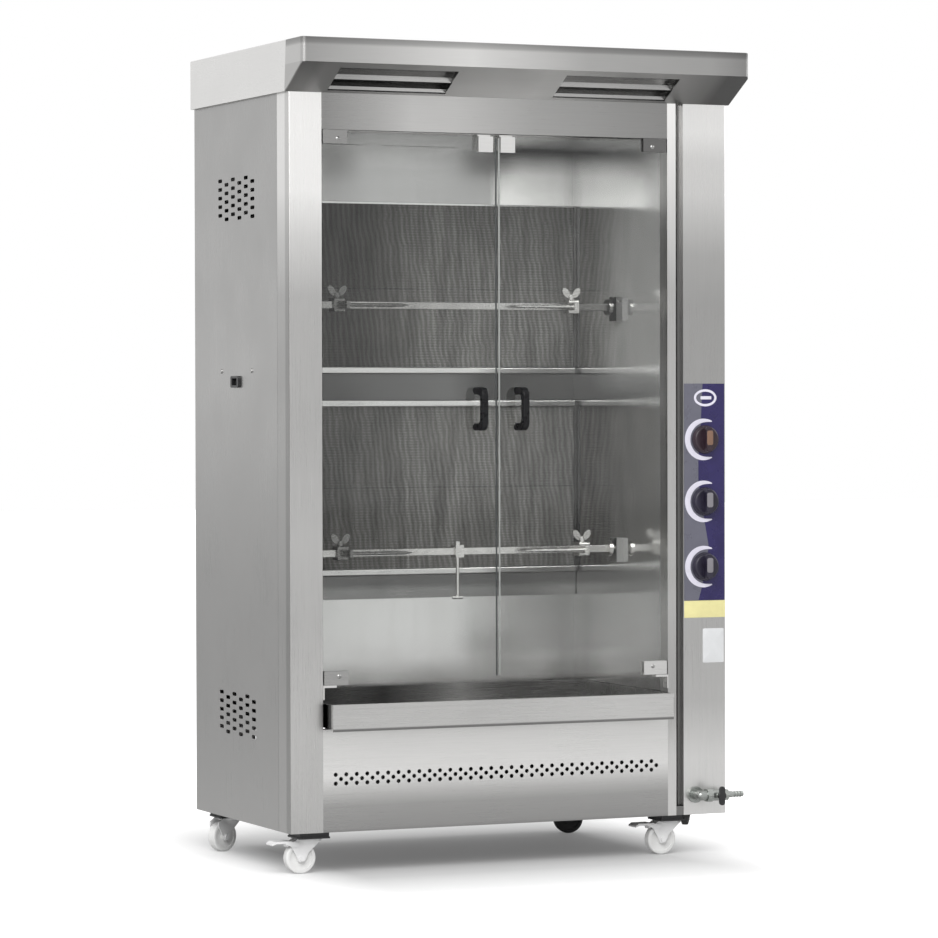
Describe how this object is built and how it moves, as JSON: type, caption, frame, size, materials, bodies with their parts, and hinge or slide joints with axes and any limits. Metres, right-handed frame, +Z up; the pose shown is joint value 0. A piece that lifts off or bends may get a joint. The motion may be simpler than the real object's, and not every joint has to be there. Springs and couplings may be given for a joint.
{
  "type": "lamb spit roaster",
  "caption": "Floor-standing cabinet on casters with motor-driven spits in front of upright radiant gas burners, glass doors, a drip tray, a hood and a control column.",
  "frame": {"origin": "on the floor, under the middle of the whole object's box", "axes": "+X to the right seen from the front, +Y to the back, +Z up"},
  "size_m": [1.21, 0.75, 1.96],
  "materials": {
    "stainless": "satin",
    "polished_liner": "polished",
    "galvanised": "satin",
    "ceramic": "matte",
    "wire_cloth": "matte",
    "door_glass": "clear",
    "black_plastic": "satin",
    "printed_plate": "satin",
    "gas_brass": "satin",
    "plated_fitting": "polished",
    "motor_grey": "satin",
    "caster_white": "satin",
    "wheel_nylon": "satin"
  },
  "bodies": {
    "casing": {"base_pan": "galvanised", "left_corner_post": "stainless", "right_front_pillar": "stainless", "left_side_panel": "stainless", "rear_panel": "stainless", "front_header": "stainless", "lower_front_panel": "stainless", "control_column": "stainless", "control_fascia": "printed_plate", "canopy": "stainless", "canopy_visor": "stainless", "canopy_louvres": "stainless", "chamber_side_walls": "polished_liner", "chamber_liner": "polished_liner", "tray_runners": "galvanised", "burner_boxes": "stainless", "burner_tiles": "ceramic", "burner_meshes": "wire_cloth", "gas_manifold": "gas_brass", "drive_switch": "black_plastic", "gas_inlet_valve": "plated_fitting", "power_inlet": "black_plastic", "spit_gearmotors": "motor_grey", "spit_end_bearings": "stainless", "door_frame_fittings": "stainless", "caster_top_plates": "caster_white"},
    "left_door": {"left_door_glass": "door_glass", "left_door_handle": "black_plastic", "left_door_fittings": "stainless"},
    "right_door": {"right_door_glass": "door_glass", "right_door_handle": "black_plastic", "right_door_fittings": "stainless"},
    "upper_spit": {"upper_spit_bar": "stainless", "upper_drive_socket": "stainless"},
    "upper_left_fork": {"upper_left_fork": "stainless"},
    "upper_left_screw": {"upper_left_wing_screw": "stainless"},
    "upper_right_fork": {"upper_right_fork": "stainless"},
    "upper_right_screw": {"upper_right_wing_screw": "stainless"},
    "lower_spit": {"lower_spit_bar": "stainless", "lower_drive_socket": "stainless"},
    "lower_left_fork": {"lower_left_fork": "stainless"},
    "lower_left_screw": {"lower_left_wing_screw": "stainless"},
    "lower_right_fork": {"lower_right_fork": "stainless"},
    "lower_right_screw": {"lower_right_wing_screw": "stainless"},
    "spine_clamp": {"spine_clamp": "stainless"},
    "drive_knob": {"drive_knob": "black_plastic"},
    "upper_burner_knob": {"upper_burner_knob": "black_plastic"},
    "lower_burner_knob": {"lower_burner_knob": "black_plastic"},
    "drip_tray": {"drip_tray": "stainless"},
    "gas_cock_lever": {"gas_cock_lever": "black_plastic"},
    "front_left_caster": {"front_left_caster_fork": "caster_white"},
    "front_left_wheel": {"front_left_caster_wheel": "wheel_nylon"},
    "front_left_brake": {"front_left_brake_pedal": "caster_white"},
    "front_right_caster": {"front_right_caster_fork": "caster_white"},
    "front_right_wheel": {"front_right_caster_wheel": "wheel_nylon"},
    "front_right_brake": {"front_right_brake_pedal": "caster_white"},
    "rear_left_caster": {"rear_left_caster_fork": "caster_white"},
    "rear_left_wheel": {"rear_left_caster_wheel": "wheel_nylon"},
    "rear_right_caster": {"rear_right_caster_fork": "caster_white"},
    "rear_right_wheel": {"rear_right_caster_wheel": "wheel_nylon"}
  },
  "joints": [
    {"name": "left_door_hinge", "type": "hinge", "parent": "casing", "child": "left_door", "pos_m": [-0.476, -0.259, 1.1005], "axis": [0, 0, -1], "range_deg": [0, 110]},
    {"name": "right_door_hinge", "type": "hinge", "parent": "casing", "child": "right_door", "pos_m": [0.4, -0.259, 1.1005], "axis": [0, 0, 1], "range_deg": [0, 110]},
    {"name": "upper_spit_turn", "type": "hinge", "parent": "casing", "child": "upper_spit", "pos_m": [0, 0.008, 1.349], "axis": [1, 0, 0], "continuous": true},
    {"name": "upper_left_fork_slide", "type": "slide", "parent": "upper_spit", "child": "upper_left_fork", "axis": [1, 0, 0], "range_m": [-0.1, 0.13]},
    {"name": "upper_left_screw_turn", "type": "hinge", "parent": "upper_left_fork", "child": "upper_left_screw", "pos_m": [-0.343, 0.008, 1.369], "axis": [0, 0, 1], "continuous": true},
    {"name": "upper_right_fork_slide", "type": "slide", "parent": "upper_spit", "child": "upper_right_fork", "axis": [1, 0, 0], "range_m": [-0.13, 0.08]},
    {"name": "upper_right_screw_turn", "type": "hinge", "parent": "upper_right_fork", "child": "upper_right_screw", "pos_m": [0.286, 0.008, 1.369], "axis": [0, 0, 1], "continuous": true},
    {"name": "lower_spit_turn", "type": "hinge", "parent": "casing", "child": "lower_spit", "pos_m": [0, 0.008, 0.746], "axis": [1, 0, 0], "continuous": true},
    {"name": "lower_left_fork_slide", "type": "slide", "parent": "lower_spit", "child": "lower_left_fork", "axis": [1, 0, 0], "range_m": [-0.1, 0.13]},
    {"name": "lower_left_screw_turn", "type": "hinge", "parent": "lower_left_fork", "child": "lower_left_screw", "pos_m": [-0.336, 0.008, 0.766], "axis": [0, 0, 1], "continuous": true},
    {"name": "lower_right_fork_slide", "type": "slide", "parent": "lower_spit", "child": "lower_right_fork", "axis": [1, 0, 0], "range_m": [-0.13, 0.05]},
    {"name": "lower_right_screw_turn", "type": "hinge", "parent": "lower_right_fork", "child": "lower_right_screw", "pos_m": [0.314, 0.008, 0.766], "axis": [0, 0, 1], "continuous": true},
    {"name": "spine_clamp_slide", "type": "slide", "parent": "lower_spit", "child": "spine_clamp", "axis": [1, 0, 0], "range_m": [-0.1, 0.1]},
    {"name": "drive_knob_turn", "type": "hinge", "parent": "casing", "child": "drive_knob", "pos_m": [0.517, -0.28, 1.02], "axis": [0, -1, 0], "range_deg": [0, 90]},
    {"name": "upper_burner_knob_turn", "type": "hinge", "parent": "casing", "child": "upper_burner_knob", "pos_m": [0.517, -0.28, 0.868], "axis": [0, -1, 0], "range_deg": [0, 210]},
    {"name": "lower_burner_knob_turn", "type": "hinge", "parent": "casing", "child": "lower_burner_knob", "pos_m": [0.517, -0.28, 0.708], "axis": [0, -1, 0], "range_deg": [0, 210]},
    {"name": "drip_tray_slide", "type": "slide", "parent": "casing", "child": "drip_tray", "axis": [0, -1, 0], "range_m": [0, 0.4]},
    {"name": "gas_cock_turn", "type": "hinge", "parent": "casing", "child": "gas_cock_lever", "pos_m": [0.534, -0.315, 0.149], "axis": [0, 1, 0], "range_deg": [0, 90]},
    {"name": "front_left_swivel", "type": "hinge", "parent": "casing", "child": "front_left_caster", "pos_m": [-0.505, -0.205, 0.08], "axis": [0, 0, 1], "continuous": true},
    {"name": "front_left_wheel_roll", "type": "hinge", "parent": "front_left_caster", "child": "front_left_wheel", "pos_m": [-0.529, -0.205, 0.0375], "axis": [0, 1, 0], "continuous": true},
    {"name": "front_left_brake_press", "type": "hinge", "parent": "front_left_caster", "child": "front_left_brake", "pos_m": [-0.545, -0.205, 0.069], "axis": [0, -1, 0], "range_deg": [0, 14]},
    {"name": "front_right_swivel", "type": "hinge", "parent": "casing", "child": "front_right_caster", "pos_m": [0.448, -0.205, 0.08], "axis": [0, 0, 1], "continuous": true},
    {"name": "front_right_wheel_roll", "type": "hinge", "parent": "front_right_caster", "child": "front_right_wheel", "pos_m": [0.424, -0.205, 0.0375], "axis": [0, 1, 0], "continuous": true},
    {"name": "front_right_brake_press", "type": "hinge", "parent": "front_right_caster", "child": "front_right_brake", "pos_m": [0.408, -0.205, 0.069], "axis": [0, -1, 0], "range_deg": [0, 14]},
    {"name": "rear_left_swivel", "type": "hinge", "parent": "casing", "child": "rear_left_caster", "pos_m": [-0.509, 0.318, 0.08], "axis": [0, 0, 1], "continuous": true},
    {"name": "rear_left_wheel_roll", "type": "hinge", "parent": "rear_left_caster", "child": "rear_left_wheel", "pos_m": [-0.53155, 0.30979, 0.0375], "axis": [-0.342, 0.9397, 0], "continuous": true},
    {"name": "rear_right_swivel", "type": "hinge", "parent": "casing", "child": "rear_right_caster", "pos_m": [0.448, 0.318, 0.08], "axis": [0, 0, 1], "continuous": true},
    {"name": "rear_right_wheel_roll", "type": "hinge", "parent": "rear_right_caster", "child": "rear_right_wheel", "pos_m": [0.42471, 0.32381, 0.0375], "axis": [0.2419, 0.9703, 0], "continuous": true}
  ]
}
